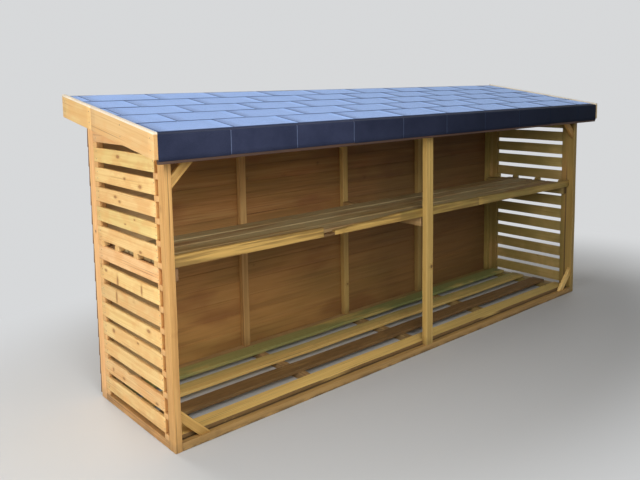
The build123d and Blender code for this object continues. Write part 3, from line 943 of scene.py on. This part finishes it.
for node, outward in (("front_felt_skirt", -1), ("back_felt_skirt", 1)):
    low, high = corners_of(node)
    eave_y = low[1] if outward < 0 else high[1]
    foot_z = low[2] + skirt_lift
    strips = []
    for x in np.arange(barge_low[0], high[0] - 0.01, tab_width):
        x0 = max(x + skirt_seam / 2, low[0])
        x1 = min(x + tab_width - skirt_seam / 2, high[0])
        strips.append(folded(x0, x1, eave_y, outward, foot_z + draw.uniform(-0.002, 0.002),
                             draw.uniform(-0.0005, 0.0002), 0, backing_depth))
    assemble(node + "_tabs", strips, skirt_felt, "skirt_felt", node)
    sheet = folded(low[0], high[0], eave_y, outward, foot_z + backing_lift, 0, backing_depth + 0.0001,
                   skirt_thick - 0.0002)
    assemble(node + "_backing", [sheet], backing_felt, "skirt_felt")

# Nails: round galvanised heads, driven just below flush wherever a board crosses what carries it, two to a
# crossing. The zinc has begun to rust.
nail_radius = 0.0024
head_steps = 10
slat_nail_in = 0.007
slat_nail_up = 0.018
board_nail_in = 0.022
barge_nail_in = 0.03
clad_nail_up = 0.032
zinc_grey = (128, 122, 112)
rust_brown = (92, 58, 36)


def heads(places, outward):
    """Shallow domes: rings of radius r at height h(r) over the wood, turned to face outwards, all at once."""
    places, outward = np.array(places, float), np.array(outward, float)
    r = np.array([1, 1, 0.85, 0.5, 0.05]) * nail_radius
    h = np.array([-0.0006, 0.0002, 0.0005, 0.0006, 0.0006])
    turn = np.radians(np.linspace(0, 360, head_steps, endpoint=False))
    side = np.roll(outward, 1)
    up = np.cross(outward, side)
    dome = (r[:, None, None] * (np.cos(turn)[None, :, None] * side + np.sin(turn)[None, :, None] * up)
            + h[:, None, None] * outward)
    points = places[:, None, None, :] + dome[None]
    index = np.arange(points.size // 3).reshape(len(places), len(r), head_steps)
    caps = list(index[:, -1]) + list(index[:, 0, ::-1])
    return {"points": points.reshape(-1, 3), "quads": ring_faces(index), "caps": caps}


def crossings(boards, supports):
    """Places of two nails where each board, laid along x, crosses each support, a little out of line."""
    places = []
    for low, high in boards:
        for support_low, support_high in supports:
            along = (support_low[0] + support_high[0]) / 2
            places += [(along, y, high[2]) for y in (low[1] + board_nail_in, high[1] - board_nail_in)]
    return np.array(places) + draw.uniform(-0.004, 0.004, (len(places), 3)) * (1, 1, 0)


steel, steel_tree, steel_shader = new_material("galvanised_steel")
rust = between(clouds(here(steel_tree), 40, 3), 0.45, 0.7)
fill(steel_shader, {"Base Color": mixed(rust, zinc_grey, rust_brown), "Metallic": 0.6,
                    "Roughness": between(rust, 0, 1, 0.4, 0.85)})
for side, node in ((-1, "left_side_slats"), (1, "right_side_slats")):
    places = []
    for low, high in solids(node):
        face = low[0] if side < 0 else high[0]
        for y in (low[1] + slat_nail_in, high[1] - slat_nail_in):
            for z in (low[2] + slat_nail_up, high[2] - slat_nail_up):
                places.append((face, y + draw.uniform(-0.002, 0.002), z + draw.uniform(-0.003, 0.003)))
    assemble(node + "_nails", [heads(places, (side, 0, 0))], steel, "slat_timber")
for node, support in (("floor_boards", "floor_bearers"), ("shelf_boards", "shelf_bearers")):
    places = crossings(solids(node), solids(support))
    assemble(node + "_nails", [heads(places, (0, 0, 1))], steel, "board_timber")
for side, node in ((-1, "left_bargeboard"), (1, "right_bargeboard")):
    low, high = corners_of(node)
    face = low[0] if side < 0 else high[0]
    y = np.repeat([low[1] + barge_nail_in, low[1] + 0.30, barge_joint + 0.02, high[1] - barge_nail_in], 2)
    z = low[2] + (y - low[1]) * roof_slope + barge_body * np.tile([0.3, 0.75], 4)
    assemble(node + "_nails", [heads(np.stack([np.full(8, face), y, z], axis=-1), (side, 0, 0))], steel,
             "barge_timber")
clad_nails = []
clad_supports = [box for node in ("back_studs", "back_left_post", "back_right_post") for box in solids(node)]
for step in range(int((clad_high[2] - clad_low[2]) / course)):
    level = clad_low[2] + step * course + clad_nail_up
    for low, high in clad_supports:
        x = (low[0] + high[0]) / 2
        clad_nails.append((x + draw.uniform(-0.004, 0.004), clad_high[1] - 0.0016, level))
assemble("back_cladding_nails", [heads(clad_nails, (0, 1, 0))], steel, "cladding_timber")

# Floor and light: a pale studio floor that fades into a pale backdrop with distance from the store. Four
# broad soft lamps light it from the front, both ends and high behind the roof, under an even pale sky.
backdrop_grey = (0.68, 0.69, 0.70, 1)
floor_grey = (0.60, 0.60, 0.59, 1)
sky_colour = (0.95, 0.97, 1, 1)
sky_strength = 0.2
floor_corners = [(-60, -60, 0), (60, -60, 0), (60, 60, 0), (-60, 60, 0)]
fade_start = 1
fade_end = 1.9
fade_shape = (1 / 2, 1 / 1.2, 0)
floor_mesh = bpy.data.meshes.new("studio_floor")
floor_mesh.from_pydata(floor_corners, [], [(0, 1, 2, 3)])
floor_paint, floor_tree, floor_shader = new_material("floor_paint")
fill(floor_shader, {"Base Color": floor_grey, "Roughness": 0.9, "Specular IOR Level": 0.2})
floor_range = distance(stretched(here(floor_tree), fade_shape))
floor_share = times(add("LightPath", {}, floor_tree)["Is Camera Ray"],
                    between(floor_range, fade_start, fade_end))
floor_glow = add("Emission", {"Color": backdrop_grey}, floor_tree)[0]
floor_mix = add("MixShader", {0: floor_share, 1: floor_shader.outputs[0], 2: floor_glow})[0]
fill(floor_tree.nodes["Material Output"], {"Surface": floor_mix})
floor_mesh.materials.append(floor_paint)
placed("studio_floor", floor_mesh)

world = bpy.data.worlds.new("studio_sky")
bpy.context.scene.world = world
world.use_nodes = True
sky = world.node_tree
seen = add("LightPath", {}, sky)
plain = calc("MAXIMUM", seen["Is Camera Ray"],
             calc("MAXIMUM", seen["Is Glossy Ray"], seen["Is Transmission Ray"]))
lit = add("Background", {"Color": sky_colour, "Strength": sky_strength}, sky)[0]
backdrop = add("Background", {"Color": backdrop_grey}, sky)[0]
chosen = add("MixShader", {0: plain, 1: lit, 2: backdrop})[0]
fill(sky.nodes["World Output"], {"Surface": chosen})


def posed(place, right, up, back):
    """The matrix that puts a lamp or a camera at a place, looking away from back."""
    pose = np.eye(4)
    pose[:3] = np.stack([right, up, back, place], axis=-1)
    return Matrix(pose.tolist())


def lamp(name, place, target, size, power, shiny=True):
    """A round soft lamp at place that shines at target. One that isn't shiny leaves no gleam."""
    light = bpy.data.lights.new(name, "AREA")
    light.shape = "DISK"
    light.size = size
    light.energy = power
    holder = placed(name, light)
    holder.visible_glossy = shiny
    back = np.array(place) - target
    back /= np.linalg.norm(back)
    right = np.cross((0, 0, 1), back)
    right /= np.linalg.norm(right)
    holder.matrix_world = posed(place, right, np.cross(back, right), back)


lamp("front_lamp", (-2.2, -3, 2.4), (-1, 0, 0.6), 1.8, 74)
lamp("side_lamp", (-5.2, -0.7, 1.9), (-1.67, 0, 0.7), 2.4, 99)
lamp("back_lamp", (-1.6, 4.2, 3.8), (-0.6, 0.4, 0.7), 3, 140, shiny=False)
lamp("right_lamp", (5.6, 1.2, 2.4), (1.67, 0, 0.7), 2.4, 30, shiny=False)

# Camera: at eye height off the left front corner, turned along the front, as the photograph was taken. Its
# frame is the lower part of a taller picture, which the small shift stands for.
camera_place = (-3.0134, -2.9267, 1.600)
camera_turn = np.radians(41.464)
camera_tilt = np.radians(-6.74)
camera_roll = np.radians(-0.863)
picture_width = 640
picture_height = 480
focal_pixels = 685.69
centre_pixel = (330.55, 162.47)
sensor_width = 36

ahead = np.array([np.sin(camera_turn) * np.cos(camera_tilt), np.cos(camera_turn) * np.cos(camera_tilt),
                  np.sin(camera_tilt)])
level = np.array([np.cos(camera_turn), -np.sin(camera_turn), 0])
above = np.cross(level, ahead)
camera_right = level * np.cos(camera_roll) + above * np.sin(camera_roll)
camera_up = above * np.cos(camera_roll) - level * np.sin(camera_roll)
lens = bpy.data.cameras.new("camera")
lens.sensor_width = sensor_width
lens.lens = focal_pixels * sensor_width / picture_width
lens.shift_x = (picture_width / 2 - centre_pixel[0]) / picture_width
lens.shift_y = (centre_pixel[1] - picture_height / 2) / picture_width
camera = placed("camera", lens)
camera.matrix_world = posed(camera_place, camera_right, camera_up, -ahead)
bpy.context.scene.camera = camera
bpy.context.scene.view_settings.view_transform = "Standard"
